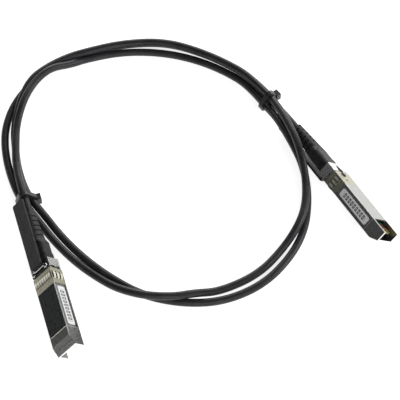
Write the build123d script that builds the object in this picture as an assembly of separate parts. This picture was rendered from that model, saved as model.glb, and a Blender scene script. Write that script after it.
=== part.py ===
from build123d import *
import math
import os

os.makedirs("parts", exist_ok=True)

# Direct attach copper cable: two identical plugs joined by one twin-axial cable that lies in
# a tied coil. All sizes are in millimetres.
#
# Plug coordinates: x runs along the plug to its mating end at x = 0, y points to the side that
# carries the white label, z points to the top face, where the pull tab is. A "depth" is the
# distance behind the mating end, so a depth d lies at x = -d. Heights are along z.

# Plug body: a floor casting and a lid casting. Lengths along the plug follow on each other
# from the mating end to the cable.
BODY_W = 13.4
BODY_H = 8.5
BODY_EDGE = 0.25
SIDE_WALL = 0.8
FLOOR_WALL = 0.8
LID_WALL = 0.9
NOSE_LID_WALL = 0.6
NOSE_EDGE_DROP = 2.5
NOSE_SLOPE = 5.2
MOUTH_DEPTH = 10.4
LABEL_BAY_L = 25.9
BAY_TO_COLLAR = 0.3
COLLAR_L = 9.4
END_WALL = 0.8
SEAM_DROP = 1.3

# Head behind the cage stop, where the cable is held and the release slider runs
HEAD_L = 6.3
HEAD_INSET = 0.5
HEAD_TOP_DROP = 0.75
HEAD_FLOOR_RISE = 0.55
HEAD_CHAMFER = 0.6
HOOK_POCKET_W = 7.8
HOOK_POCKET_CUT = 0.2
HOOK_POCKET_START = 1.3

# Latch boss that the cage catches, with its shoulder towards the cable
BOSS_SETBACK = 1.0
BOSS_LEN = 2.4
BOSS_W = 2.6
BOSS_H = 0.85

# Labels and the recesses that they lie in
SIDE_RECESS = 0.35
SIDE_RECESS_SILL = 1.15
SIDE_RECESS_BROW = 0.55
TOP_RECESS = 0.25
TOP_RECESS_RIM = 0.4
SIDE_LABEL_MARGIN = 1.35
SIDE_LABEL_H = 4.7
SIDE_LABEL_Z = 0.05
SIDE_LABEL_T = 0.15
SIDE_LABEL_CORNER = 1.0
TOP_LABEL_T = 0.2
LABEL_MARGIN = 0.15

# Spring collar of thin sheet round the body
COLLAR_T = 0.25
COLLAR_SEAT = 0.03
FINGER_START = 2.9
FINGER_L = 4.5
FINGER_LIFT = 0.5
FINGER_W = 1.4
TOP_FINGERS = 7
TOP_FINGER_PITCH = 1.75
SIDE_FINGERS = 3
SIDE_FINGER_PITCH = 2.4
FINGER_ROOT = 0.2
WINDOW_MARGIN = 0.2
COLLAR_HOLE_R = 0.4
COLLAR_HOLE_START = 1.9
COLLAR_HOLE_Y = 3.7
RIVET_START = 3.6
RIVET_Y = 0.5
RIVET_R = 0.5
RIVET_HEAD_R = 0.85
RIVET_HEAD_T = 0.2
RIVET_BORE_R = 0.3
RIVET_FIT = 0.03

# Card edge and what it carries
CARD_T = 1.0
CARD_RISE = 2.25
CARD_FRONT = 3.2
CARD_TONGUE_W = 9.2
CARD_TONGUE_L = 8.8
CARD_WIDE_L = 18.0
CARD_SIDE_GAP = 0.15
CARD_CHAMFER = 0.4
PADS_PER_FACE = 10
PAD_PITCH = 0.8
PAD_W = 0.5
PAD_L = 2.6
PAD_T = 0.05
PAD_SETBACK = 0.4
LEDGE_W = 1.2
LEDGE_START = 2.0
LID_RIB_W = 0.6
LID_RIB_L = 10.0
PEG_SETBACK = 2.5
PEG_R = 0.45
PEG_FIT = 0.06
PEG_PROUD = 0.2
CHIP_START = 6.0
CHIP_L = 4.0
CHIP_W = 2.6
CHIP_T = 0.8
CHIP_STAND = 0.1
LEAD_W = 0.35
LEAD_REACH = 0.6
LEAD_PITCH = 1.0
LEAD_T = 0.12
CAP_L = 1.0
CAP_W = 0.5
CAP_T = 0.5
CAP_START = 2.5
CAP_ROW_PITCH = 1.6

# Cable and how it enters the plug
CABLE_OD = 4.2
BOND_GAP = 0.03
FERRULE_T = 0.5
FERRULE_START = 0.9
FERRULE_L = 3.4
JACKET_START = 0.2
CORE_R = 0.42
CORE_SPREAD = 1.1
CORE_RISE = 0.55
CONDUCTOR_R = 0.15
SOLDER_L = 1.4
CORE_BEND = 3.0
CORE_STRAIGHT = 3.0
CORE_FLAT = 4.0

# Strain relief boot
BOOT_BAND_INSET = 1.0
BOOT_BAND_FALL = 0.6
BOOT_BAND_L = 4.2
BOOT_BOX_W = 10.6
BOOT_BOX_H = 7.1
BOOT_CORNER = 2.0
BOOT_BOX_L = 7.5
BOOT_BLEND_L = 3.5
BOOT_CONE_R = 4.2
BOOT_TIP_R = 3.0
BOOT_CONE_L = 17.8
BOOT_TIP_ROUND = 0.9
SLOTS = 10
SLOT_START = 1.8
SLOT_PITCH = 1.62
SLOT_W = 0.7
SLOT_CUT = 1.2
SLOT_LONG = 5.2
SLOT_SHORT = 3.4
BOOT_SKIN = 0.3

# Release slider of stamped sheet, its bridge and the pull wire
SLIDER_T = 0.4
SLIDER_GAP = 0.25
SLIDER_BEND = 1.4
SLIDER_START = 0.4
SLIDER_OVER = 0.3
CHEEK_START = 0.6
CHEEK_SHORT = 0.2
CHEEK_NOTCH = 0.6
CHEEK_PROUD = 0.35
NOTCH_W = 4.8
NOTCH_TIP_W = 1.2
NOTCH_LEFT = 1.6
TONGUE_T = 0.4
TONGUE_H = 1.2
TONGUE_REACH = 1.8
BRIDGE_INSET = 0.3
BRIDGE_T = 0.4
BRIDGE_AHEAD = 2.65
BRIDGE_BEHIND = 0.3
BRIDGE_CHAMFER = 0.7
BRIDGE_NOTCH_W = 7.2
BRIDGE_NOTCH_AHEAD = 1.4
WIRE_R = 0.4
ROD_START = 2.6
RING_R = 0.8
RING_INSET = 2.0
RING_TURN = 262
WIRE_STAND = 0.02
POST_FIT = 0.05
POST_HEAD_R = 0.65
POST_HEAD_T = 0.2
RELEASE_TRAVEL = 2.0

# Return springs of the slider
SPRING_WIRE = 0.28
SPRING_MEAN_R = 0.65
SPRING_TURNS = 4
SPRING_INSET = 0.9
GROOVE_GAP = 0.15
GROOVE_START = 0.7
SPRING_SPARE = 0.88

# Pull tab
TAB_W = 7.9
TAB_T = 1.1
TAB_RISE = 2.55
TAB_L = 42.5
TAB_CORNER = 0.8
HOOK_W = 6.6
HOOK_FIT = 0.05
HOOK_LIP = 0.5
HOOK_FLOOR = 0.7
HOOK_BACK = 0.6
HOOK_RAKE = 0.6

# Where the plugs lie on the floor: mating end, heading and roll about the plug's own axis
PLUG_A = (-64.0, -96.6, -73.0, 46.2)
PLUG_B = (96.2, -30.4, -59.0, 135.0)

# Cable between the boots. Each row is a corner of its route, chosen by hand from the photograph:
# the angle round the middle of the coil in degrees, the distance from that middle, the height.
COIL_MIDDLE = (-24.3, 18.5)
CORD_LEAD_A = 10.0
CORD_LEAD_B = 8.5
ARC_SHARE = 0.45
CORD_STEPS = 1500
FIRST_TURN = [
    (191, 72.3, 7.4), (180, 74.3, 6.3), (169, 76.9, 6.4), (160, 80.8, 6.4), (150, 84.2, 9.6),
    (140, 88.0, 9.0), (132, 88.4, 9.3), (124, 86.5, 5.1), (117, 87.8, 2.1), (103, 85.8, 2.1),
    (87, 83.0, 2.1), (71, 80.5, 2.1), (55, 78.7, 2.1), (45, 76.2, 3.1), (34, 73.6, 4.9),
    (26, 73.0, 7.9), (18, 73.2, 9.4), (9, 75.2, 9.4), (1, 78.8, 7.0), (354, 81.8, 2.5),
    (345, 84.4, 2.1), (334, 88.2, 2.1), (322, 90.7, 2.1), (308, 92.5, 2.1), (294, 90.8, 2.1),
    (281, 85.9, 2.1), (267, 79.8, 2.1), (253, 72.4, 2.1), (238, 67.3, 2.1), (222, 64.8, 2.1),
    (207, 65.4, 3.5),
]
SECOND_TURN = [
    (195, 69.7, 3.5), (180, 73.7, 2.1), (169, 77.5, 2.1), (160, 82.7, 2.1), (150, 87.1, 5.6),
    (140, 92.0, 6.8), (132, 92.1, 6.5), (124, 91.4, 6.2), (117, 89.9, 6.1), (103, 89.0, 5.9),
    (87, 88.3, 5.9), (71, 83.8, 5.9), (55, 81.6, 6.0), (45, 79.2, 6.9), (35, 77.2, 9.5),
    (26, 75.9, 11.8), (17, 75.7, 13.2), (8, 77.0, 13.7), (0, 78.7, 12.2), (353, 81.1, 7.8),
    (343, 83.8, 6.3), (334, 85.1, 6.0), (323, 84.7, 2.3), (309, 86.1, 2.1), (294, 84.5, 2.1),
    (285, 82.5, 4.7), (278, 83.8, 6.8), (269, 82.9, 7.3), (261, 80.6, 6.3), (253, 76.6, 2.9),
    (238, 72.0, 2.1), (222, 69.5, 2.1), (207, 70.0, 3.5),
]
THIRD_TURN = [
    (195, 74.3, 3.5), (180, 78.7, 2.1), (169, 83.6, 2.1), (160, 87.7, 2.1), (150, 91.0, 2.1),
    (140, 92.5, 2.1), (132, 93.3, 2.1), (124, 92.9, 2.1), (117, 92.5, 2.1), (103, 91.3, 2.1),
    (87, 90.8, 2.1), (71, 86.3, 2.1), (55, 83.8, 2.1), (45, 80.9, 2.7), (35, 78.1, 4.8),
]

# Nylon ties round the three strands
TIE_ANGLE_A = 197.5
TIE_ANGLE_B = 35.5
TIE_W = 2.5
TIE_T = 1.1
TIE_GAP = 0.15
TIE_HEAD_L = 4.2
TIE_HEAD_T = 2.6
TIE_HEAD_RIM = 0.8
TIE_HEAD_Z_A = 2.4
TIE_HEAD_Z_B = 7.2

# Half sizes, depths and heights that follow from the sizes above
HALF_W = BODY_W / 2
HALF_H = BODY_H / 2
CABLE_R = CABLE_OD / 2
ROOM_W = BODY_W - 2 * SIDE_WALL
ROOM_FLOOR = FLOOR_WALL - HALF_H
ROOM_CEILING = HALF_H - LID_WALL
NOSE_EDGE_Z = HALF_H - NOSE_EDGE_DROP
SEAM_Z = HALF_H - SEAM_DROP
RECESS_END = MOUTH_DEPTH + LABEL_BAY_L
SIDE_LABEL_L = LABEL_BAY_L - 2 * SIDE_LABEL_MARGIN
COLLAR_FRONT = RECESS_END + BAY_TO_COLLAR
BODY_END = COLLAR_FRONT + COLLAR_L
ROOM_END = BODY_END - END_WALL
HEAD_END = BODY_END + HEAD_L
HEAD_W = BODY_W - 2 * HEAD_INSET
HEAD_TOP = HALF_H - HEAD_TOP_DROP
HEAD_BOTTOM = HALF_H - HEAD_FLOOR_RISE
BOSS_SHOULDER = BODY_END - BOSS_SETBACK
FINGER_FRONT = COLLAR_FRONT + FINGER_START
FINGER_END = FINGER_FRONT + FINGER_L
RIVET_DEPTH = COLLAR_FRONT + RIVET_START
CARD_BOTTOM = CARD_RISE - HALF_H
CARD_TOP = CARD_BOTTOM + CARD_T
CARD_W = ROOM_W - 2 * CARD_SIDE_GAP
CARD_TONGUE_END = CARD_FRONT + CARD_TONGUE_L
CARD_END = CARD_TONGUE_END + CARD_WIDE_L
PEG_DEPTH = CARD_END - PEG_SETBACK
LEDGE_FRONT = CARD_TONGUE_END + LEDGE_START
JACKET_END = BODY_END + JACKET_START
FERRULE_FRONT = BODY_END + FERRULE_START
BOOT_BAND_W = HEAD_W - BOOT_BAND_INSET
BOOT_BAND_H = BODY_H - 2 * BOOT_BAND_FALL
BOOT_BAND_END = HEAD_END + BOOT_BAND_L
BOOT_BOX_END = BOOT_BAND_END + BOOT_BOX_L
BOOT_CONE_START = BOOT_BOX_END + BOOT_BLEND_L
BOOT_END = BOOT_CONE_START + BOOT_CONE_L
SLIDER_FRONT = BODY_END + SLIDER_START
SLIDER_END = HEAD_END + SLIDER_OVER
SLIDER_IN_W = HEAD_W + 2 * SLIDER_GAP
SLIDER_W = SLIDER_IN_W + 2 * SLIDER_T
SLIDER_IN_Z = -HEAD_BOTTOM - SLIDER_GAP
SLIDER_Z = SLIDER_IN_Z - SLIDER_T
CHEEK_FRONT = SLIDER_FRONT + CHEEK_START
CHEEK_END = SLIDER_END - CHEEK_SHORT
CHEEK_TOP = HEAD_TOP + CHEEK_PROUD
NOTCH_END = SLIDER_END - NOTCH_LEFT
ROD_DEPTH = SLIDER_FRONT + ROD_START
RING_DEPTH = ROD_DEPTH - RING_R
RING_Y = HALF_W - RING_INSET
WIRE_Z = CHEEK_TOP + BRIDGE_T + WIRE_R + WIRE_STAND
SPRING_Y = HEAD_W / 2 - SPRING_INSET
SPRING_FRONT = CHEEK_FRONT + TONGUE_T
GROOVE_FRONT = BODY_END + GROOVE_START
GROOVE_END = SPRING_FRONT + SPRING_TURNS * SPRING_WIRE + RELEASE_TRAVEL + SPRING_SPARE
TAB_TOP = HALF_H + TAB_RISE
TAB_END = ROD_DEPTH + TAB_L


def block(d0, d1, y0, y1, z0, z1):
    """Box between two depths, two widths and two heights."""
    middle = Pos(-(d0 + d1) / 2, (y0 + y1) / 2, (z0 + z1) / 2)
    return middle * Box(d1 - d0, y1 - y0, z1 - z0)


def from_side(points, y0, y1):
    """Prism over an outline of (depth, height) points, between two widths."""
    outline = make_face(Polyline(*[(-d, z) for d, z in points], close=True))
    return extrude(Plane.XZ.offset(-y1) * outline, amount=y1 - y0)


def from_top(points, z0, z1):
    """Prism over an outline of (depth, y) points, between two heights."""
    outline = make_face(Polyline(*[(-d, y) for d, y in points], close=True))
    return extrude(Plane.XY.offset(z0) * outline, amount=z1 - z0)


def rod(radius, d0, d1, y=0, z=0):
    """Round bar along the plug between two depths."""
    return Pos(-(d0 + d1) / 2, y, z) * Rot(0, 90, 0) * Cylinder(radius, d1 - d0)


def pin(radius, depth, y, z0, z1):
    """Round bar that stands up between two heights."""
    return Pos(-depth, y, (z0 + z1) / 2) * Cylinder(radius, z1 - z0)


def section_bar(w, h, corner, d0, d1):
    """Bar of rounded rectangular section along the plug."""
    return extrude(Plane.YZ.offset(-d1) * RectangleRounded(w, h, corner), amount=d1 - d0)


def nose_lid_z(depth):
    """Height of the underside of the sloping nose lid."""
    slope = (HALF_H - NOSE_EDGE_Z) / NOSE_SLOPE
    drop = NOSE_LID_WALL * math.hypot(1, slope)
    return NOSE_EDGE_Z - drop + slope * depth


def depth_of_nose_lid(z):
    """Depth at which the underside of the nose lid reaches a height."""
    slope = (HALF_H - NOSE_EDGE_Z) / NOSE_SLOPE
    return (z - nose_lid_z(0)) / slope


def plug_body():
    """Both castings as one solid: walls, nose, head, recesses and boss, before the split."""
    body = section_bar(BODY_W, BODY_H, BODY_EDGE, 0, BODY_END)
    over = HALF_H + 1
    slope = (over - NOSE_EDGE_Z) * NOSE_SLOPE / (HALF_H - NOSE_EDGE_Z)
    body -= from_side([(-1, NOSE_EDGE_Z), (0, NOSE_EDGE_Z), (slope, over), (-1, over)], -HALF_W, HALF_W)
    head = block(BODY_END, HEAD_END, -HEAD_W / 2, HEAD_W / 2, -HEAD_BOTTOM, HEAD_TOP)
    low_edges = head.edges().filter_by(Axis.X).sort_by(Axis.Z)[:2]
    body += chamfer(low_edges, HEAD_CHAMFER)
    ceiling = HALF_H - NOSE_LID_WALL
    room = [
        (-1, -HALF_H - 1),
        (-1, nose_lid_z(-1)),
        (depth_of_nose_lid(ceiling), ceiling),
        (MOUTH_DEPTH, ceiling),
        (MOUTH_DEPTH, ROOM_CEILING),
        (ROOM_END, ROOM_CEILING),
        (ROOM_END, ROOM_FLOOR),
        (MOUTH_DEPTH, ROOM_FLOOR),
        (MOUTH_DEPTH, -HALF_H - 1),
    ]
    body -= from_side(room, -ROOM_W / 2, ROOM_W / 2)
    sink = COLLAR_T + COLLAR_SEAT
    ring = section_bar(BODY_W + 2, BODY_H + 2, BODY_EDGE, COLLAR_FRONT, BODY_END)
    ring -= section_bar(BODY_W - 2 * sink, BODY_H - 2 * sink, BODY_EDGE, COLLAR_FRONT, BODY_END)
    body -= ring
    side = HALF_W - SIDE_RECESS
    low = SIDE_RECESS_SILL - HALF_H
    body -= block(MOUTH_DEPTH, RECESS_END, side, HALF_W + 1, low, HALF_H - SIDE_RECESS_BROW)
    label_w = HALF_W - TOP_RECESS_RIM
    body -= block(MOUTH_DEPTH, RECESS_END, -label_w, label_w, HALF_H - TOP_RECESS, over)
    pocket_w = HOOK_POCKET_W / 2
    pocket_front = BODY_END + HOOK_POCKET_START
    pocket_floor = HEAD_TOP - HOOK_POCKET_CUT
    body -= block(pocket_front, HEAD_END, -pocket_w, pocket_w, pocket_floor, HEAD_TOP)
    body -= rod(CABLE_R + BOND_GAP, FERRULE_FRONT, HEAD_END + 1)
    body -= rod(CABLE_R + FERRULE_T + 2 * BOND_GAP, ROOM_END - 1, FERRULE_FRONT + FERRULE_L + BOND_GAP)
    body -= pin(RIVET_R + RIVET_FIT, RIVET_DEPTH, RIVET_Y, -HALF_H, ROOM_FLOOR + 1)
    groove_h = 2 * SPRING_MEAN_R + SPRING_WIRE + 2 * GROOVE_GAP
    groove_y = SPRING_Y - groove_h / 2
    for side in (-1, 1):
        y0, y1 = sorted((side * groove_y, side * (HEAD_W / 2 + 1)))
        body -= block(GROOVE_FRONT, GROOVE_END, y0, y1, -groove_h / 2, groove_h / 2)
    return body


def lid_space():
    """Everything above the seam between the castings: low at the head, stepped up at the nose."""
    far = HALF_H + 1
    seam = [
        (HEAD_END + 1, 0),
        (ROOM_END, 0),
        (ROOM_END, SEAM_Z),
        (depth_of_nose_lid(SEAM_Z), SEAM_Z),
        (-1, nose_lid_z(-1)),
        (-1, far),
        (HEAD_END + 1, far),
    ]
    return from_side(seam, -HALF_W, HALF_W)


def base_shell():
    shell = plug_body() - lid_space()
    sink = COLLAR_T + COLLAR_SEAT
    boss = from_top(
        [(BOSS_SHOULDER, -BOSS_W / 2), (BOSS_SHOULDER, BOSS_W / 2), (BOSS_SHOULDER - BOSS_LEN, 0)],
        -HALF_H - BOSS_H, sink - HALF_H)
    shell += boss
    for side in (-1, 1):
        y0, y1 = sorted((side * ROOM_W / 2, side * (ROOM_W / 2 - LEDGE_W)))
        shell += block(LEDGE_FRONT, CARD_END, y0, y1, ROOM_FLOOR, CARD_BOTTOM)
        shell += pin(PEG_R, PEG_DEPTH, side * (ROOM_W / 2 - LEDGE_W / 2), CARD_BOTTOM, CARD_TOP + PEG_PROUD)
    return shell


def top_shell():
    shell = plug_body() & lid_space()
    for side in (-1, 1):
        y0, y1 = sorted((side * (ROOM_W / 2 - LEDGE_W), side * (ROOM_W / 2 - LEDGE_W + LID_RIB_W)))
        shell += block(LEDGE_FRONT, LEDGE_FRONT + LID_RIB_L, y0, y1, CARD_TOP, ROOM_CEILING)
    return shell


def finger(half):
    """One arched spring finger that stands on the face at the given half height."""
    middle = (FINGER_FRONT + FINGER_END) / 2
    low = half - COLLAR_T
    rear = FINGER_END + FINGER_ROOT
    front = FINGER_FRONT - FINGER_ROOT
    outline = [
        Line((-rear, half), (-FINGER_END, half)),
        ThreePointArc((-FINGER_END, half), (-middle, half + FINGER_LIFT), (-FINGER_FRONT, half)),
        Line((-FINGER_FRONT, half), (-front, half)),
        Line((-front, half), (-front, low)),
        Line((-front, low), (-FINGER_FRONT, low)),
        ThreePointArc((-FINGER_FRONT, low), (-middle, low + FINGER_LIFT), (-FINGER_END, low)),
        Line((-FINGER_END, low), (-rear, low)),
        Line((-rear, low), (-rear, half)),
    ]
    face = make_face(Wire(outline))
    return extrude(Plane.XZ.offset(-FINGER_W / 2) * face, amount=FINGER_W)


def emi_spring_collar():
    collar = section_bar(BODY_W, BODY_H, BODY_EDGE, COLLAR_FRONT + COLLAR_SEAT, BODY_END)
    inner_w = BODY_W - 2 * COLLAR_T
    inner_h = BODY_H - 2 * COLLAR_T
    collar -= section_bar(inner_w, inner_h, BODY_EDGE, COLLAR_FRONT, BODY_END)
    top_w = inner_w / 2 - WINDOW_MARGIN
    side_h = inner_h / 2 - WINDOW_MARGIN
    collar -= block(FINGER_FRONT, FINGER_END, -top_w, top_w, HALF_H - COLLAR_T, HALF_H)
    for side in (-1, 1):
        y0, y1 = sorted((side * HALF_W, side * (HALF_W - COLLAR_T)))
        collar -= block(FINGER_FRONT, FINGER_END, y0, y1, -side_h, side_h)
        hole_depth = COLLAR_FRONT + COLLAR_HOLE_START
        collar -= pin(COLLAR_HOLE_R, hole_depth, side * COLLAR_HOLE_Y, 0, HALF_H + 1)
    for k in range(TOP_FINGERS):
        y = (k - (TOP_FINGERS - 1) / 2) * TOP_FINGER_PITCH
        collar += Pos(0, y, 0) * finger(HALF_H)
    for side in (-1, 1):
        for k in range(SIDE_FINGERS):
            z = (k - (SIDE_FINGERS - 1) / 2) * SIDE_FINGER_PITCH
            collar += Pos(0, 0, z) * Rot(-90 * side, 0, 0) * finger(HALF_W)
    collar -= pin(RIVET_R + RIVET_FIT, RIVET_DEPTH, RIVET_Y, -HALF_H - 1, 0)
    boss_w = BOSS_W / 2 + BOND_GAP
    boss_front = BOSS_SHOULDER - BOSS_LEN - BOND_GAP
    return collar - block(boss_front, BODY_END + 1, -boss_w, boss_w, -HALF_H - 1, 0)


def collar_rivet():
    """Hollow rivet that pins the collar to the floor of the base."""
    top = ROOM_FLOOR + RIVET_HEAD_T
    rivet = pin(RIVET_R, RIVET_DEPTH, RIVET_Y, -HALF_H, ROOM_FLOOR)
    rivet += pin(RIVET_HEAD_R, RIVET_DEPTH, RIVET_Y, -HALF_H - RIVET_HEAD_T, -HALF_H)
    rivet += pin(RIVET_HEAD_R, RIVET_DEPTH, RIVET_Y, ROOM_FLOOR, top)
    return rivet - pin(RIVET_BORE_R, RIVET_DEPTH, RIVET_Y, -HALF_H - 1, ROOM_FLOOR)


def paddle_card():
    tongue = CARD_TONGUE_W / 2
    wide = CARD_W / 2
    outline = [
        (CARD_FRONT, CARD_CHAMFER - tongue),
        (CARD_FRONT, tongue - CARD_CHAMFER),
        (CARD_FRONT + CARD_CHAMFER, tongue),
        (CARD_TONGUE_END, tongue),
        (CARD_TONGUE_END, wide),
        (CARD_END, wide),
        (CARD_END, -wide),
        (CARD_TONGUE_END, -wide),
        (CARD_TONGUE_END, -tongue),
        (CARD_FRONT + CARD_CHAMFER, -tongue),
    ]
    card = from_top(outline, CARD_BOTTOM, CARD_TOP)
    for side in (-1, 1):
        y = side * (ROOM_W / 2 - LEDGE_W / 2)
        card -= pin(PEG_R + PEG_FIT, PEG_DEPTH, y, CARD_BOTTOM - 1, CARD_TOP + 1)
    return card


def contact_pads():
    pads = []
    front = CARD_FRONT + PAD_SETBACK
    for k in range(PADS_PER_FACE):
        y = (k - (PADS_PER_FACE - 1) / 2) * PAD_PITCH
        for low in (CARD_TOP, CARD_BOTTOM - PAD_T):
            pads.append(block(front, front + PAD_L, y - PAD_W / 2, y + PAD_W / 2, low, low + PAD_T))
    return pads


def memory_chip():
    middle = CARD_TONGUE_END + CHIP_START
    front = middle - CHIP_L / 2
    low = CARD_TOP + CHIP_STAND
    chip = block(front, front + CHIP_L, -CHIP_W / 2, CHIP_W / 2, low, low + CHIP_T)
    for k in range(4):
        depth = middle + (k - 1.5) * LEAD_PITCH
        reach = CHIP_W / 2 + LEAD_REACH
        chip += block(depth - LEAD_W / 2, depth + LEAD_W / 2, -reach, reach, CARD_TOP, CARD_TOP + LEAD_T)
    return chip


def card_capacitors():
    caps = []
    front = CARD_TONGUE_END + CAP_START - CAP_L / 2
    for k in (-2, -1, 1, 2):
        y = k * CAP_ROW_PITCH
        for low in (CARD_TOP, CARD_BOTTOM - CAP_T):
            caps.append(block(front, front + CAP_L, y - CAP_W / 2, y + CAP_W / 2, low, low + CAP_T))
    return caps


def wire_pairs():
    """Four insulated cores that fan out from the jacket to both faces of the card."""
    cores = []
    for side in (-1, 1):
        for face in (-1, 1):
            lie = CARD_TOP + CONDUCTOR_R if face > 0 else CARD_BOTTOM - CONDUCTOR_R
            y = side * CORE_SPREAD
            y_in = side * CORE_RISE
            z_in = face * CORE_RISE
            strip = CARD_END + CONDUCTOR_R
            route = FilletPolyline(
                (-JACKET_END, y_in, z_in),
                (CORE_STRAIGHT - JACKET_END, y_in, z_in),
                (-strip - CORE_FLAT, y, lie),
                (-strip, y, lie),
                radius=CORE_BEND)
            core = sweep(Plane(origin=route @ 0, z_dir=route % 0) * Circle(CORE_R), path=route)
            core += rod(CONDUCTOR_R, CARD_END - SOLDER_L, strip + 1, y, lie)
            cores.append(core)
    return cores


def cable_tail():
    return rod(CABLE_R, JACKET_END, BOOT_END)


def cable_ferrule():
    ferrule = rod(CABLE_R + BOND_GAP + FERRULE_T, FERRULE_FRONT, FERRULE_FRONT + FERRULE_L)
    return ferrule - rod(CABLE_R + BOND_GAP, FERRULE_FRONT - 1, FERRULE_FRONT + FERRULE_L + 1)


def boot_radius(depth):
    part = (depth - BOOT_CONE_START) / (BOOT_END - BOOT_CONE_START)
    return BOOT_CONE_R + part * (BOOT_TIP_R - BOOT_CONE_R)


def boot():
    """Overmoulded strain relief: band, box, blend to round, then a slotted cone."""
    shape = section_bar(BOOT_BAND_W, BOOT_BAND_H, BOOT_CORNER, HEAD_END, BOOT_BAND_END)
    shape += section_bar(BOOT_BOX_W, BOOT_BOX_H, BOOT_CORNER, BOOT_BAND_END, BOOT_BOX_END)
    round_start = 2 * BOOT_CONE_R
    blend = loft([
        Plane.YZ.offset(-BOOT_CONE_START) * RectangleRounded(round_start, round_start, BOOT_CONE_R - 0.01),
        Plane.YZ.offset(-BOOT_BOX_END) * RectangleRounded(BOOT_BOX_W, BOOT_BOX_H, BOOT_CORNER),
    ])
    length = BOOT_END - BOOT_CONE_START
    middle = (BOOT_CONE_START + BOOT_END) / 2
    cone = Pos(-middle, 0, 0) * Rot(0, -90, 0) * Cone(BOOT_CONE_R, BOOT_TIP_R, length)
    tip = cone.edges().sort_by(Axis.X)[0]
    shape = shape + blend + fillet(tip, BOOT_TIP_ROUND)
    for k in range(SLOTS):
        depth = BOOT_CONE_START + SLOT_START + k * SLOT_PITCH
        floor = max(boot_radius(depth) - SLOT_CUT, CABLE_R + BOND_GAP + BOOT_SKIN)
        reach = (SLOT_LONG if k % 2 == 0 else SLOT_SHORT) / 2
        for side in (-1, 1):
            low, high = sorted((side * floor, side * 2 * BOOT_CONE_R))
            if k % 2 == 0:
                shape -= block(depth - SLOT_W / 2, depth + SLOT_W / 2, low, high, -reach, reach)
            else:
                shape -= block(depth - SLOT_W / 2, depth + SLOT_W / 2, -reach, reach, low, high)
    return shape - rod(CABLE_R + BOND_GAP, HEAD_END - 1, BOOT_END + 1)


def side_label():
    y = HALF_W - SIDE_RECESS
    middle = (MOUTH_DEPTH + RECESS_END) / 2
    outline = Pos(-middle, SIDE_LABEL_Z) * RectangleRounded(SIDE_LABEL_L, SIDE_LABEL_H, SIDE_LABEL_CORNER)
    return extrude(Plane.XZ.offset(-y - SIDE_LABEL_T) * outline, amount=SIDE_LABEL_T)


def top_label():
    low = HALF_H - TOP_RECESS
    half = HALF_W - TOP_RECESS_RIM - LABEL_MARGIN
    front = MOUTH_DEPTH + LABEL_MARGIN
    return block(front, RECESS_END - LABEL_MARGIN, -half, half, low, low + TOP_LABEL_T)


def channel(w, low, bend, d0, d1):
    """Bar with its two lower long edges rounded."""
    bar = block(d0, d1, -w / 2, w / 2, low, CHEEK_TOP)
    return fillet(bar.edges().filter_by(Axis.X).sort_by(Axis.Z)[:2], bend)


def release_slider():
    """Stamped sheet channel round the head, with a notched floor and two spring tongues."""
    slider = channel(SLIDER_W, SLIDER_Z, SLIDER_BEND, SLIDER_FRONT, SLIDER_END)
    slider -= channel(SLIDER_IN_W, SLIDER_IN_Z, SLIDER_BEND - SLIDER_T, SLIDER_FRONT - 1, SLIDER_END + 1)
    low = SLIDER_Z + SLIDER_BEND
    mid = TONGUE_H / 2
    step = CHEEK_FRONT + CHEEK_NOTCH
    front = [
        (SLIDER_FRONT - 1, low),
        (CHEEK_FRONT, low),
        (step, low + CHEEK_NOTCH),
        (step, -mid - CHEEK_NOTCH / 2),
        (CHEEK_FRONT, -mid),
        (CHEEK_FRONT, mid),
        (step, mid + CHEEK_NOTCH / 2),
        (step, CHEEK_TOP - 2 * CHEEK_NOTCH),
        (CHEEK_FRONT, CHEEK_TOP - CHEEK_NOTCH),
        (CHEEK_FRONT, CHEEK_TOP + 1),
        (SLIDER_FRONT - 1, CHEEK_TOP + 1),
    ]
    slider -= from_side(front, -SLIDER_W, SLIDER_W)
    slider -= block(CHEEK_END, SLIDER_END + 1, -SLIDER_W, SLIDER_W, low, CHEEK_TOP + 1)
    notch = [
        (SLIDER_FRONT - 1, -NOTCH_W / 2),
        (SLIDER_FRONT, -NOTCH_W / 2),
        (NOTCH_END, -NOTCH_TIP_W / 2),
        (NOTCH_END, NOTCH_TIP_W / 2),
        (SLIDER_FRONT, NOTCH_W / 2),
        (SLIDER_FRONT - 1, NOTCH_W / 2),
    ]
    slider -= from_top(notch, SLIDER_Z - 1, SLIDER_IN_Z + 1)
    for side in (-1, 1):
        y0, y1 = sorted((side * SLIDER_W / 2, side * (SLIDER_IN_W / 2 - TONGUE_REACH)))
        slider += block(CHEEK_FRONT, CHEEK_FRONT + TONGUE_T, y0, y1, -mid, mid)
    return slider


def slider_bridge():
    """Dark plate across the cheeks that carries the two posts of the pull wire."""
    half = HALF_W - BRIDGE_INSET
    inner = BRIDGE_NOTCH_W / 2
    front = ROD_DEPTH - BRIDGE_AHEAD
    rear = ROD_DEPTH + BRIDGE_BEHIND
    step = ROD_DEPTH - BRIDGE_NOTCH_AHEAD
    outline = [
        (front, BRIDGE_CHAMFER - half),
        (front, half - BRIDGE_CHAMFER),
        (front + BRIDGE_CHAMFER, half),
        (rear, half),
        (rear, inner),
        (step, inner),
        (step, -inner),
        (rear, -inner),
        (rear, -half),
        (front + BRIDGE_CHAMFER, -half),
    ]
    bridge = from_top(outline, CHEEK_TOP, CHEEK_TOP + BRIDGE_T)
    post_r = RING_R - WIRE_R - POST_FIT
    top = WIRE_Z + WIRE_R + WIRE_STAND
    for side in (-1, 1):
        bridge += pin(post_r, RING_DEPTH, side * RING_Y, CHEEK_TOP, top)
        bridge += pin(POST_HEAD_R, RING_DEPTH, side * RING_Y, top, top + POST_HEAD_T)
    return bridge


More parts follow.
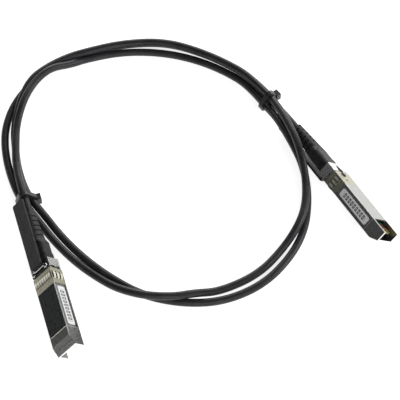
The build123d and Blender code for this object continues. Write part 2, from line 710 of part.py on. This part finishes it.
def pull_wire():
    """Round wire: a cross rod for the tab, curled into a flat ring at each end."""
    wire = Pos(-ROD_DEPTH, 0, WIRE_Z) * Rot(90, 0, 0) * Cylinder(WIRE_R, 2 * RING_Y)
    for side in (-1, 1):
        ring = revolve(Plane.XZ * Pos(RING_R, 0) * Circle(WIRE_R), axis=Axis.Z, revolution_arc=RING_TURN)
        turn = Rot(0, 0, 180 - RING_TURN) if side > 0 else Rot(0, 0, 180)
        wire += Pos(-RING_DEPTH, side * RING_Y, WIRE_Z) * turn * ring
    return wire


def pull_tab():
    """Flat moulded strip with a hook that cradles the rod from below."""
    low = TAB_TOP - TAB_T
    cradle = WIRE_R + HOOK_FIT
    under = WIRE_Z - cradle - HOOK_FLOOR
    lip = ROD_DEPTH - cradle - HOOK_LIP
    back = ROD_DEPTH + cradle + HOOK_BACK
    front = ROD_DEPTH + cradle
    hook = [
        (lip, under),
        (back, under),
        (back + (low - under) * HOOK_RAKE, low),
        (back + (low - under) * HOOK_RAKE, TAB_TOP),
        (front + HOOK_LIP, TAB_TOP),
        (front, TAB_TOP - HOOK_LIP),
        (front, WIRE_Z),
        (lip, WIRE_Z),
    ]
    tab = from_side(hook, -HOOK_W / 2, HOOK_W / 2)
    strip_front = back
    length = TAB_END - strip_front
    outline = Pos(-(strip_front + TAB_END) / 2, 0) * Rectangle(length, TAB_W)
    strip = extrude(Plane.XY.offset(low) * outline, amount=TAB_T)
    strip = fillet(strip.edges().filter_by(Axis.Z).sort_by(Axis.X)[:2], TAB_CORNER)
    tab += strip
    return tab - Pos(-ROD_DEPTH, 0, WIRE_Z) * Rot(90, 0, 0) * Cylinder(cradle, TAB_W)


def return_springs():
    """Two small coil springs between the slider's tongues and the end of their grooves."""
    coils = []
    start = SPRING_FRONT + SPRING_WIRE / 2
    run = GROOVE_END - SPRING_WIRE / 2 - start
    for side in (-1, 1):
        path = Helix(run / SPRING_TURNS, run, SPRING_MEAN_R)
        wire = Plane(origin=path @ 0, z_dir=path % 0) * Rectangle(SPRING_WIRE, SPRING_WIRE)
        coil = sweep(wire, path=path, is_frenet=True)
        coils.append(Pos(-start, side * SPRING_Y, 0) * Rot(0, -90, 0) * coil)
    return coils


def lying(plug):
    """Placement of a plug that rests on one long edge of its body."""
    x, y, heading, roll = plug
    turn = math.radians(roll)
    corner_y = (HALF_W - BODY_EDGE) * abs(math.sin(turn))
    corner_z = (HALF_H - BODY_EDGE) * abs(math.cos(turn))
    return Pos(x, y, corner_y + corner_z + BODY_EDGE) * Rot(0, 0, heading) * Rot(roll, 0, 0)


PIECES = {
    "base_shell": base_shell,
    "top_shell": top_shell,
    "emi_spring_collar": emi_spring_collar,
    "collar_rivet": collar_rivet,
    "paddle_card": paddle_card,
    "contact_pads": contact_pads,
    "memory_chip": memory_chip,
    "card_capacitors": card_capacitors,
    "wire_pairs": wire_pairs,
    "cable_tail": cable_tail,
    "cable_ferrule": cable_ferrule,
    "boot": boot,
    "side_label": side_label,
    "top_label": top_label,
    "release_slider": release_slider,
    "slider_bridge": slider_bridge,
    "pull_wire": pull_wire,
    "pull_tab": pull_tab,
    "return_springs": return_springs,
}


def solids_of(made):
    """All solids of a piece, whatever the builder function returned."""
    items = made if isinstance(made, list) else [made]
    return [solid for item in items for solid in item.solids()]



def coil_point(angle, distance, height):
    turn = math.radians(angle)
    x = COIL_MIDDLE[0] + distance * math.cos(turn)
    y = COIL_MIDDLE[1] + distance * math.sin(turn)
    return Vector(x, y, height)


def on_plug_axis(plug, depth):
    return (lying(plug) * Pos(-depth, 0, 0)).position


def cord_path():
    """Straight runs joined by tangent arcs, from one boot through the coil to the other."""
    corners = [on_plug_axis(PLUG_A, BOOT_END), on_plug_axis(PLUG_A, BOOT_END + CORD_LEAD_A)]
    corners += [coil_point(*row) for row in FIRST_TURN + SECOND_TURN + THIRD_TURN]
    corners += [on_plug_axis(PLUG_B, BOOT_END + CORD_LEAD_B), on_plug_axis(PLUG_B, BOOT_END)]
    radii = []
    for before, corner, after in zip(corners, corners[1:], corners[2:]):
        come = corner - before
        go = after - corner
        half_turn = math.radians(come.get_angle(go)) / 2
        radii.append(ARC_SHARE * min(come.length, go.length) / math.tan(half_turn))
    print("tightest bend radius", round(min(radii), 1), "corners", len(corners))
    return FilletPolyline(*corners, radius=radii)


def cable(path):
    return sweep(Plane(origin=path @ 0, z_dir=path % 0) * Circle(CABLE_R), path=path)


def strands_at(spots, angle):
    """Where the cord crosses a half plane through the coil's middle: distance and height."""
    found = []
    last = None
    for here in spots:
        x = here.X - COIL_MIDDLE[0]
        y = here.Y - COIL_MIDDLE[1]
        off = (math.degrees(math.atan2(y, x)) - angle + 180) % 360 - 180
        now = (off, math.hypot(x, y), here.Z)
        if last and abs(off) < 90 and last[0] > 0 >= off:
            share = last[0] / (last[0] - off)
            found.append((last[1] + share * (now[1] - last[1]), last[2] + share * (now[2] - last[2])))
        last = now
    return found


def strands_across(spots, angle, width):
    """The strands at both edges of something of this width that lies across them."""
    middle = sum(distance for distance, z in strands_at(spots, angle)) / 3
    half = math.degrees(width / 2 / middle)
    return strands_at(spots, angle - half) + strands_at(spots, angle + half)


def tie(spots, angle, head_side, head_z):
    """Nylon band that hugs the strands, with its square head on one side."""
    radius = CABLE_R + TIE_GAP
    rings = []
    for spot in strands_across(spots, angle, TIE_W):
        rings += (Pos(*spot) * Circle(radius)).edges()
    inside = make_hull(rings)
    band = extrude(offset(inside, amount=TIE_T) - inside, amount=TIE_W / 2, both=True)
    head_w = TIE_W + 2 * TIE_HEAD_RIM
    reach = max(head_side * distance for distance, z in strands_across(spots, angle, head_w)) + radius
    head = Pos(head_side * (reach + TIE_HEAD_T / 2), head_z, 0) * Box(TIE_HEAD_T, TIE_HEAD_L, head_w)
    turn = math.radians(angle)
    outward = Vector(math.cos(turn), math.sin(turn), 0)
    across = Vector(math.sin(turn), -math.cos(turn), 0)
    section = Plane(origin=(COIL_MIDDLE[0], COIL_MIDDLE[1], 0), x_dir=outward, z_dir=across)
    return section.location * (band + head)


nodes = {}
for name, maker in PIECES.items():
    solids = solids_of(maker())
    for mark, plug in (("a", PLUG_A), ("b", PLUG_B)):
        place = lying(plug)
        nodes[name + "_" + mark] = [place * solid for solid in solids]

plug_boxes = [solid.bounding_box() for solids in nodes.values() for solid in solids]
middle_x = (min(box.min.X for box in plug_boxes) + max(box.max.X for box in plug_boxes)) / 2
middle_y = (min(box.min.Y for box in plug_boxes) + max(box.max.Y for box in plug_boxes)) / 2
floor_z = min(box.min.Z for box in plug_boxes)
print("origin in the route's coordinates", round(middle_x, 3), round(middle_y, 3), round(floor_z, 4))

path = cord_path()
print("cord length", round(path.length, 1))
nodes["cable"] = solids_of(cable(path))
spots = [path @ (k / CORD_STEPS) for k in range(CORD_STEPS + 1)]
nodes["tie_a"] = solids_of(tie(spots, TIE_ANGLE_A, -1, TIE_HEAD_Z_A))
nodes["tie_b"] = solids_of(tie(spots, TIE_ANGLE_B, 1, TIE_HEAD_Z_B))

to_origin = Pos(-middle_x, -middle_y, -floor_z)
for name, solids in nodes.items():
    placed = [to_origin * solid for solid in solids]
    shape = placed[0] if len(placed) == 1 else Compound(children=placed)
    box = shape.bounding_box()
    volume = sum(solid.volume for solid in placed)
    print(name, len(placed), round(volume, 1), round(box.min.Z, 2), round(box.max.Z, 2))
    export_step(shape, "parts/" + name + ".step")
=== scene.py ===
import math
import bpy
from mathutils import Euler, Matrix, Vector


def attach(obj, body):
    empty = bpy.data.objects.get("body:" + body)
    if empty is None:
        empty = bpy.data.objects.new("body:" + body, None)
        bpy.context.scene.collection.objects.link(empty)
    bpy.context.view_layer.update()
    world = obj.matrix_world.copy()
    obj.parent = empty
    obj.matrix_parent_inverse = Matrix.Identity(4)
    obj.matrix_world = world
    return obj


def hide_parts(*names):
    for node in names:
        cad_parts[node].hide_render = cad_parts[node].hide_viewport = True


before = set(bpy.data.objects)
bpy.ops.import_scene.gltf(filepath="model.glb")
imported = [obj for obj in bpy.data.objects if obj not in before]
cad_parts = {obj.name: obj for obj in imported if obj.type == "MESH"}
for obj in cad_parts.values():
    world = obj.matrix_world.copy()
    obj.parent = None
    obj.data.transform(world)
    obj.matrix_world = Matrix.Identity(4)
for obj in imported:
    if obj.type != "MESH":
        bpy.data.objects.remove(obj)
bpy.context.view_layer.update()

# Direct attach copper cable on a pale floor. Lengths named here are millimetres; the model is in metres.
MM = 0.001
BASE = "cable_assembly"

# Each plug: mating end, heading and roll about its own axis. In plug coordinates x runs to the mating
# end at x = 0, y points to the white label and z to the face with the pull tab.
PLUGS = {
    "a": ((-66.436, -71.018, 7.674), -73.0, 46.2),
    "b": ((93.764, -4.818, 7.639), -59.0, 135.0),
}

# Plug sizes that the finishes and the cable refer to. A depth is a distance behind the mating end.
HALF_W = 6.7
HALF_H = 4.25
SEAM_Z = 2.95
NOSE_SLOPE = 5.2
RECESS_FRONT = 10.4
BOOT_END = 85.3
CABLE_OD = 4.2

# Width of the painted edge highlights, and how far a spring finger stands off the body where it turns
# lighter
EDGE_HIGHLIGHT_WIDTH = 0.55
FINGER_PALE_RISE = (0.30, 0.40)

# Row of rings printed on the white label: its ends and pitch along the plug, the height of a ring
# and of its opening, and the shares of the pitch that they take
PRINT_FROM = 13.6
PRINT_TO = 33.0
PRINT_PITCH = 2.05
RING_HEIGHT = (-1.25, 1.35)
RING_SHARE = (0.08, 0.72)
OPENING_HEIGHT = (-0.65, 0.75)
OPENING_SHARE = (0.30, 0.50)

# Card zones along the depth: bare laminate, dark mask behind the pads, green further in
MASK_FROM = (6.3, 6.6)
GREEN_FROM = (9.2, 9.8)

# Studio: soft lamps as name, place, width and height, and power in watts; then the sky and the floor.
# Lengths of the studio are metres.
LAMPS = [
    ("soft_right", (1.0, 0.1, 0.5), (0.6, 0.4), 7),
    ("soft_back", (0.1, 1.2, 0.5), (1.2, 0.4), 11),
    ("soft_front", (0.2, -0.9, 0.5), (0.9, 0.4), 4),
]
LAMP_AIM = (0, 0.03, 0)
SKY = (0.75, 0.76, 0.78)
SKY_STRENGTH = 0.13
FLOOR_GLOW = 0.8
FLOOR_REACH = 3.0
FLOOR_DROP = 0.00002

# Camera, from the plug's edges in the photograph
CAMERA_AT = (-2.436, -443.46, 660.01)
CAMERA_TO = (-2.436, 25.582, 0.0)
LENS = 136.94
SENSOR = 36.0


def plug_place(mark):
    """Matrix from plug coordinates in millimetres to the model in metres."""
    at, heading, roll = PLUGS[mark]
    turn = Euler((math.radians(roll), 0, math.radians(heading)), "XYZ").to_matrix().to_4x4()
    return Matrix.Translation(Vector(at) * MM) @ turn @ Matrix.Scale(MM, 4)


def camera():
    made = bpy.data.objects.new("camera", bpy.data.cameras.new("camera"))
    made.data.lens = LENS
    made.data.sensor_width = SENSOR
    made.location = Vector(CAMERA_AT) * MM
    look = Vector(CAMERA_TO) - Vector(CAMERA_AT)
    made.rotation_euler = look.to_track_quat("-Z", "Y").to_euler()
    bpy.context.scene.collection.objects.link(made)
    bpy.context.scene.camera = made


# Route of the cable: the same corners as in the part's source. Each row is an angle round the middle
# of the coil in degrees, the distance from that middle and the height.
COIL_MIDDLE = (-26.736, 44.082)
CORD_LEAD = {"a": 10.0, "b": 8.5}
COIL = [
    (191, 72.3, 7.4), (180, 74.3, 6.3), (169, 76.9, 6.4), (160, 80.8, 6.4), (150, 84.2, 9.6),
    (140, 88.0, 9.0), (132, 88.4, 9.3), (124, 86.5, 5.1), (117, 87.8, 2.1), (103, 85.8, 2.1),
    (87, 83.0, 2.1), (71, 80.5, 2.1), (55, 78.7, 2.1), (45, 76.2, 3.1), (34, 73.6, 4.9),
    (26, 73.0, 7.9), (18, 73.2, 9.4), (9, 75.2, 9.4), (1, 78.8, 7.0), (354, 81.8, 2.5),
    (345, 84.4, 2.1), (334, 88.2, 2.1), (322, 90.7, 2.1), (308, 92.5, 2.1), (294, 90.8, 2.1),
    (281, 85.9, 2.1), (267, 79.8, 2.1), (253, 72.4, 2.1), (238, 67.3, 2.1), (222, 64.8, 2.1),
    (207, 65.4, 3.5),
    (195, 69.7, 3.5), (180, 73.7, 2.1), (169, 77.5, 2.1), (160, 82.7, 2.1), (150, 87.1, 5.6),
    (140, 92.0, 6.8), (132, 92.1, 6.5), (124, 91.4, 6.2), (117, 89.9, 6.1), (103, 89.0, 5.9),
    (87, 88.3, 5.9), (71, 83.8, 5.9), (55, 81.6, 6.0), (45, 79.2, 6.9), (35, 77.2, 9.5),
    (26, 75.9, 11.8), (17, 75.7, 13.2), (8, 77.0, 13.7), (0, 78.7, 12.2), (353, 81.1, 7.8),
    (343, 83.8, 6.3), (334, 85.1, 6.0), (323, 84.7, 2.3), (309, 86.1, 2.1), (294, 84.5, 2.1),
    (285, 82.5, 4.7), (278, 83.8, 6.8), (269, 82.9, 7.3), (261, 80.6, 6.3), (253, 76.6, 2.9),
    (238, 72.0, 2.1), (222, 69.5, 2.1), (207, 70.0, 3.5),
    (195, 74.3, 3.5), (180, 78.7, 2.1), (169, 83.6, 2.1), (160, 87.7, 2.1), (150, 91.0, 2.1),
    (140, 92.5, 2.1), (132, 93.3, 2.1), (124, 92.9, 2.1), (117, 92.5, 2.1), (103, 91.3, 2.1),
    (87, 90.8, 2.1), (71, 86.3, 2.1), (55, 83.8, 2.1), (45, 80.9, 2.7), (35, 78.1, 4.8),
]


def coil_point(angle, distance, height):
    turn = math.radians(angle)
    x = COIL_MIDDLE[0] + distance * math.cos(turn)
    y = COIL_MIDDLE[1] + distance * math.sin(turn)
    return Vector((x, y, height)) * MM


def behind(mark, depth):
    """Point on a plug's axis at a distance behind its mating end."""
    return plug_place(mark) @ Vector((-depth, 0, 0))


def cable():
    corners = [behind("a", BOOT_END), behind("a", BOOT_END + CORD_LEAD["a"])]
    corners += [coil_point(*row) for row in COIL]
    corners += [behind("b", BOOT_END + CORD_LEAD["b"]), behind("b", BOOT_END)]
    curve = bpy.data.curves.new("cable_run", "CURVE")
    curve.dimensions = "3D"
    spline = curve.splines.new("NURBS")
    spline.points.add(len(corners) - 1)
    for point, corner in zip(spline.points, corners):
        point.co = (*corner, 1.0)
        point.radius = CABLE_OD / 2 * MM
    spline.order_u = 3
    spline.use_endpoint_u = True
    spline.resolution_u = 12
    # The points carry the radius, so that the curve's own box is that of the cable.
    curve.bevel_depth = 1.0
    curve.bevel_resolution = 6
    made = bpy.data.objects.new("cable_run", curve)
    bpy.context.scene.collection.objects.link(made)
    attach(made, BASE)
    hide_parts("cable")
    return made


class Finish:
    """One procedural material, with short calls for the nodes that it needs."""

    def __init__(self, name, colour, metallic=0.0, roughness=0.5, specular=0.5):
        self.material = bpy.data.materials.new(name)
        self.material.use_nodes = True
        self.nodes = self.material.node_tree.nodes
        self.links = self.material.node_tree.links
        self.shader = self.nodes["Principled BSDF"]
        self.set("Base Color", (*colour, 1.0))
        self.set("Metallic", metallic)
        self.set("Roughness", roughness)
        self.set("Specular IOR Level", specular)
        self.place = self.node("ShaderNodeTexCoord").outputs["Object"]

    def set(self, socket, value):
        self.shader.inputs[socket].default_value = value

    def node(self, kind, **fields):
        made = self.nodes.new(kind)
        for key, value in fields.items():
            setattr(made, key, value)
        return made

    def on_plug(self, mark):
        """Patterns follow plug coordinates in millimetres."""
        at, heading, roll = PLUGS[mark]
        turned = self.node("ShaderNodeMapping", vector_type="TEXTURE")
        turned.inputs["Location"].default_value = Vector(at) * MM
        turned.inputs["Rotation"].default_value = (math.radians(roll), 0, math.radians(heading))
        turned.inputs["Scale"].default_value = (MM, MM, MM)
        self.links.new(self.place, turned.inputs["Vector"])
        self.place = turned.outputs["Vector"]
        return self

    def in_millimetres(self):
        turned = self.node("ShaderNodeMapping", vector_type="TEXTURE")
        turned.inputs["Scale"].default_value = (MM, MM, MM)
        self.links.new(self.place, turned.inputs["Vector"])
        self.place = turned.outputs["Vector"]
        return self

    def stretched(self, x, y, z):
        made = self.node("ShaderNodeMapping")
        made.inputs["Scale"].default_value = (x, y, z)
        self.links.new(self.place, made.inputs["Vector"])
        return made.outputs["Vector"]

    def noise(self, scale, detail=3.0, where=None):
        made = self.node("ShaderNodeTexNoise")
        made.inputs["Scale"].default_value = scale
        made.inputs["Detail"].default_value = detail
        made.inputs["Roughness"].default_value = 0.55
        self.links.new(where or self.place, made.inputs["Vector"])
        return made.outputs["Fac"]

    def axis(self, letter):
        made = self.node("ShaderNodeSeparateXYZ")
        self.links.new(self.place, made.inputs[0])
        return made.outputs[letter]

    def maths(self, operation, *values):
        made = self.node("ShaderNodeMath", operation=operation)
        for socket, value in zip(made.inputs, values):
            if isinstance(value, (int, float)):
                socket.default_value = value
            else:
                self.links.new(value, socket)
        return made.outputs[0]

    def between(self, value, low, high, soft=0.05):
        """1 where a value lies between two limits, 0 elsewhere, with a soft edge."""
        up = self.ramp(value, low - soft, low + soft, 0.0, 1.0)
        down = self.ramp(value, high - soft, high + soft, 1.0, 0.0)
        return self.maths("MULTIPLY", up, down)

    def ramp(self, value, low, high, out_low, out_high):
        made = self.node("ShaderNodeMapRange")
        for socket, number in zip(list(made.inputs)[1:5], (low, high, out_low, out_high)):
            socket.default_value = number
        self.links.new(value, made.inputs["Value"])
        return made.outputs["Result"]

    def mix(self, share, first, second):
        made = self.node("ShaderNodeMix", data_type="RGBA")
        sockets = {socket.identifier: socket for socket in made.inputs}
        for key, wanted in (("Factor_Float", share), ("A_Color", first), ("B_Color", second)):
            if isinstance(wanted, tuple):
                sockets[key].default_value = (*wanted, 1.0)
            else:
                self.links.new(wanted, sockets[key])
        return next(output for output in made.outputs if output.identifier == "Result_Color")

    def two_tone(self, pattern, dark, light, low=0.35, high=0.65):
        """Two close colours that a pattern blends between its low and high values."""
        return self.mix(self.ramp(pattern, low, high, 0.0, 1.0), dark, light)

    def depth(self):
        """Distance behind the mating end, in plug coordinates."""
        return self.maths("MULTIPLY", self.axis("X"), -1.0)

    def size(self, letter):
        """Distance from the plug's middle plane."""
        return self.maths("ABSOLUTE", self.axis(letter))

    def colour(self, output):
        self.links.new(output, self.shader.inputs["Base Color"])
        return self

    def roughness(self, value, low, high):
        self.links.new(self.ramp(value, 0.3, 0.7, low, high), self.shader.inputs["Roughness"])
        return self

    def bump(self, height, depth, strength):
        """Relief of the given depth in millimetres."""
        made = self.node("ShaderNodeBump")
        made.inputs["Strength"].default_value = strength
        made.inputs["Distance"].default_value = depth * MM
        self.links.new(height, made.inputs["Height"])
        self.links.new(made.outputs["Normal"], self.shader.inputs["Normal"])
        return self


def cast_nickel(mark):
    """Dull nickel on the castings, with painted highlights along the edges, a painted dark reflection on
    the flat strip of the lid and the seam as a dark line.
    """
    made = Finish("cast_nickel_" + mark, (0.40, 0.40, 0.38), 1.0, 0.3).on_plug(mark)
    grain = made.noise(2.2, 4.0)
    fine = made.noise(14.0, 2.0)
    tone = made.two_tone(grain, (0.27, 0.27, 0.26), (0.46, 0.46, 0.44))
    # The flat strip of the lid ahead of its label is darkened: a painted dark reflection.
    painted_reflection_strip = made.between(made.depth(), NOSE_SLOPE, RECESS_FRONT - 0.4, 0.1)
    painted_reflection_strip = made.maths("MULTIPLY", painted_reflection_strip, made.ramp(made.axis("Z"), HALF_H - 0.3, HALF_H - 0.05, 0.0, 1.0))
    tone = made.mix(painted_reflection_strip, tone, (0.10, 0.10, 0.09))
    seam = made.between(made.axis("Z"), SEAM_Z - 0.04, SEAM_Z + 0.04, 0.015)
    tone = made.mix(seam, tone, (0.05, 0.05, 0.05))
    # Painted highlights: near-white along the long edges, round the mouth and at the front of the label
    # recesses.
    made.colour(made.mix(painted_edge_highlights(made), tone, (0.97, 0.97, 0.95)))
    made.roughness(grain, 0.24, 0.38)
    return made.bump(fine, 0.02, 0.5).material


def painted_edge_highlights(made):
    """Mask of painted highlights: 1 along the body's long edges, round the mouth and at the front of the
    label recesses.
    """
    across = made.size("Y")
    up = made.size("Z")
    depth = made.depth()
    long_edge = made.maths("MULTIPLY", made.ramp(across, HALF_W - EDGE_HIGHLIGHT_WIDTH, HALF_W - 0.1, 0.0, 1.0),
                           made.ramp(up, HALF_H - EDGE_HIGHLIGHT_WIDTH, HALF_H - 0.1, 0.0, 1.0))
    mouth = made.ramp(depth, 0.12, 0.3, 1.0, 0.0)
    recess = made.between(depth, RECESS_FRONT - 0.3, RECESS_FRONT, 0.06)
    return made.maths("MINIMUM", made.maths("ADD", made.maths("ADD", long_edge, mouth), recess), 1.0)


def collar_strip(mark):
    """Khaki plated strip; the sprung fingers are lighter, cream, where they stand proud of the body."""
    made = Finish("collar_strip_" + mark, (0.45, 0.44, 0.34), 1.0, 0.4).on_plug(mark)
    grain = made.noise(1.8, 3.0)
    drawn = made.noise(6.0, 2.0, made.stretched(0.4, 3.0, 3.0))
    tone = made.two_tone(grain, (0.38, 0.37, 0.28), (0.52, 0.50, 0.39))
    up = made.size("Z")
    out = made.size("Y")
    lift, full = FINGER_PALE_RISE
    proud = made.maths("MAXIMUM", made.ramp(up, HALF_H + lift, HALF_H + full, 0.0, 1.0),
                       made.ramp(out, HALF_W + lift, HALF_W + full, 0.0, 1.0))
    # The fingers turn cream where they stand proud of the body.
    made.colour(made.mix(proud, tone, (0.90, 0.87, 0.76)))
    made.roughness(grain, 0.36, 0.48)
    return made.bump(drawn, 0.01, 0.4).material


def sheet_steel(mark):
    made = Finish("sheet_steel_" + mark, (0.66, 0.66, 0.64), 1.0, 0.25).on_plug(mark)
    drawn = made.noise(5.0, 3.0, made.stretched(0.3, 4.0, 4.0))
    tone = made.two_tone(drawn, (0.56, 0.56, 0.54), (0.74, 0.74, 0.72))
    return made.colour(tone).roughness(drawn, 0.18, 0.34).bump(drawn, 0.008, 0.5).material


def black_oxide(mark):
    made = Finish("black_oxide_" + mark, (0.05, 0.05, 0.05), 0.6, 0.42).on_plug(mark)
    grain = made.noise(5.0, 3.0)
    tone = made.two_tone(grain, (0.025, 0.025, 0.025), (0.09, 0.085, 0.08))
    return made.colour(tone).roughness(grain, 0.3, 0.5).bump(grain, 0.01, 0.5).material


def drawn_wire(mark):
    made = Finish("drawn_wire_" + mark, (0.75, 0.75, 0.73), 1.0, 0.2).on_plug(mark)
    lines = made.noise(9.0, 2.0, made.stretched(4.0, 0.3, 4.0))
    tone = made.two_tone(lines, (0.62, 0.62, 0.60), (0.84, 0.84, 0.82))
    return made.colour(tone).roughness(lines, 0.15, 0.28).bump(lines, 0.006, 0.5).material


def moulded_black(mark, name, low, high):
    """Black plastic or rubber with the fine grain of its mould."""
    made = Finish(name + "_" + mark, low, 0.0, 0.45, 0.25).on_plug(mark)
    cloud = made.noise(0.35, 3.0)
    grain = made.noise(9.0, 3.0)
    made.colour(made.two_tone(cloud, low, high, 0.3, 0.7))
    made.roughness(grain, 0.38, 0.55)
    return made.bump(grain, 0.025, 0.6).material


def jacket():
    made = Finish("cable_jacket", (0.022, 0.022, 0.024), 0.0, 0.42, 0.3).in_millimetres()
    cloud = made.noise(0.12, 3.0)
    grain = made.noise(3.5, 3.0)
    made.colour(made.two_tone(cloud, (0.016, 0.016, 0.018), (0.034, 0.034, 0.037), 0.3, 0.7))
    made.roughness(grain, 0.34, 0.5)
    return made.bump(grain, 0.03, 0.5).material


def nylon():
    made = Finish("tie_nylon", (0.02, 0.02, 0.021), 0.0, 0.35).in_millimetres()
    cloud = made.noise(0.8, 3.0)
    grain = made.noise(6.0, 2.0)
    made.colour(made.two_tone(cloud, (0.012, 0.012, 0.013), (0.035, 0.035, 0.037), 0.3, 0.7))
    return made.roughness(grain, 0.28, 0.42).bump(grain, 0.02, 0.5).material


def white_film(mark):
    """Off-white film with one row of plain dark rings, as the printed line looks from a distance."""
    made = Finish("white_film_" + mark, (0.75, 0.75, 0.74), 0.0, 0.4).on_plug(mark)
    cloud = made.noise(0.8, 3.0)
    paper = made.two_tone(cloud, (0.74, 0.74, 0.73), (0.88, 0.88, 0.87), 0.3, 0.7)
    depth = made.depth()
    row = made.between(depth, PRINT_FROM, PRINT_TO, 0.03)
    height = made.axis("Z")
    step = made.maths("FRACT", made.maths("DIVIDE", depth, PRINT_PITCH))
    outer = made.maths("MULTIPLY", made.between(step, *RING_SHARE, 0.03),
                       made.between(height, *RING_HEIGHT, 0.05))
    inner = made.maths("MULTIPLY", made.between(step, *OPENING_SHARE, 0.03),
                       made.between(height, *OPENING_HEIGHT, 0.05))
    ink = made.maths("MULTIPLY", made.maths("SUBTRACT", outer, inner), row)
    made.colour(made.mix(ink, paper, (0.05, 0.05, 0.055)))
    return made.roughness(cloud, 0.34, 0.46).bump(made.noise(8.0), 0.006, 0.4).material


def dark_film(mark):
    made = Finish("dark_film_" + mark, (0.012, 0.014, 0.014), 0.0, 0.32, 0.15).on_plug(mark)
    cloud = made.noise(0.5, 4.0)
    tone = made.two_tone(cloud, (0.007, 0.008, 0.008), (0.022, 0.026, 0.026), 0.3, 0.7)
    return made.colour(tone).roughness(cloud, 0.24, 0.4).bump(made.noise(7.0), 0.008, 0.4).material


def solder_resist(mark):
    """Card: olive laminate at the edge, dark red-brown mask behind the pads, green further in."""
    made = Finish("solder_resist_" + mark, (0.12, 0.11, 0.04), 0.0, 0.35).on_plug(mark)
    depth = made.depth()
    weave = made.noise(3.0, 2.0)
    olive = made.two_tone(weave, (0.20, 0.17, 0.055), (0.30, 0.26, 0.10), 0.3, 0.7)
    zone = made.mix(made.ramp(depth, *MASK_FROM, 0.0, 1.0), olive, (0.10, 0.018, 0.012))
    made.colour(made.mix(made.ramp(depth, *GREEN_FROM, 0.0, 1.0), zone, (0.02, 0.09, 0.04)))
    return made.roughness(weave, 0.28, 0.42).bump(weave, 0.01, 0.5).material


def plain(mark, name, dark, light, metallic, roughness):
    """Small parts that hardly show: two close tones and a fine relief."""
    made = Finish(name + "_" + mark, dark, metallic, roughness).on_plug(mark)
    grain = made.noise(3.0, 3.0)
    made.colour(made.two_tone(grain, dark, light))
    return made.roughness(grain, roughness - 0.06, roughness + 0.08).bump(grain, 0.01, 0.5).material


def dress():
    """Gives every part its finish."""
    hidden = {
        "collar_rivet": ("rivet_steel", (0.40, 0.40, 0.38), (0.58, 0.58, 0.56), 1.0, 0.3),
        "contact_pads": ("pad_gold", (0.62, 0.44, 0.16), (0.78, 0.60, 0.27), 1.0, 0.24),
        "memory_chip": ("chip_mould", (0.015, 0.015, 0.015), (0.04, 0.04, 0.04), 0.0, 0.5),
        "card_capacitors": ("capacitor_ceramic", (0.34, 0.26, 0.16), (0.50, 0.40, 0.28), 0.0, 0.4),
        "wire_pairs": ("core_insulation", (0.10, 0.16, 0.36), (0.16, 0.24, 0.48), 0.0, 0.35),
        "cable_ferrule": ("ferrule_brass", (0.45, 0.34, 0.15), (0.62, 0.50, 0.26), 1.0, 0.32),
        "return_springs": ("spring_wire", (0.42, 0.42, 0.41), (0.62, 0.62, 0.60), 1.0, 0.26),
    }
    for mark in PLUGS:
        metal = cast_nickel(mark)
        finishes = {
            "base_shell": metal,
            "top_shell": metal,
            "emi_spring_collar": collar_strip(mark),
            "paddle_card": solder_resist(mark),
            "boot": moulded_black(mark, "boot_rubber", (0.014, 0.014, 0.016), (0.034, 0.034, 0.037)),
            "pull_tab": moulded_black(mark, "tab_plastic", (0.012, 0.012, 0.014), (0.030, 0.030, 0.033)),
            "cable_tail": jacket(),
            "side_label": white_film(mark),
            "top_label": dark_film(mark),
            "release_slider": sheet_steel(mark),
            "slider_bridge": black_oxide(mark),
            "pull_wire": drawn_wire(mark),
        }
        for name, values in hidden.items():
            finishes[name] = plain(mark, *values)
        for name, finish in finishes.items():
            put(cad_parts[name + "_" + mark], finish)
    tie_finish = nylon()
    for name in ("tie_a", "tie_b"):
        put(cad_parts[name], tie_finish)


def put(piece, finish):
    piece.data.materials.clear()
    piece.data.materials.append(finish)


def floor():
    mesh = bpy.data.meshes.new("studio_floor")
    reach = FLOOR_REACH
    low = -FLOOR_DROP
    corners = [(-reach, -reach, low), (reach, -reach, low), (reach, reach, low), (-reach, reach, low)]
    mesh.from_pydata(corners, [], [(0, 1, 2, 3)])
    made = bpy.data.objects.new("studio_floor", mesh)
    bpy.context.scene.collection.objects.link(made)
    finish = Finish("pale_floor", (0.92, 0.92, 0.92), 0.0, 0.9, 0.1).in_millimetres()
    cloud = finish.noise(0.01, 2.0)
    finish.colour(finish.mix(cloud, (0.92, 0.92, 0.92), (0.95, 0.95, 0.95)))
    finish.set("Emission Color", (1.0, 1.0, 1.0, 1.0))
    finish.set("Emission Strength", FLOOR_GLOW)
    put(made, finish.material)


def lamp(name, at, size, power):
    light = bpy.data.lights.new(name, "AREA")
    light.shape = "RECTANGLE"
    light.size, light.size_y = size
    light.energy = power
    made = bpy.data.objects.new(name, light)
    made.location = at
    made.rotation_euler = (Vector(LAMP_AIM) - Vector(at)).to_track_quat("-Z", "Y").to_euler()
    bpy.context.scene.collection.objects.link(made)


def studio():
    floor()
    world = bpy.data.worlds.new("studio")
    world.use_nodes = True
    world.node_tree.nodes["Background"].inputs["Color"].default_value = (*SKY, 1.0)
    world.node_tree.nodes["Background"].inputs["Strength"].default_value = SKY_STRENGTH
    bpy.context.scene.world = world
    bpy.context.scene.view_settings.view_transform = "Standard"
    for name, at, size, power in LAMPS:
        lamp(name, at, size, power)


camera()
cable_curve = cable()
put(cable_curve, jacket())
dress()
studio()
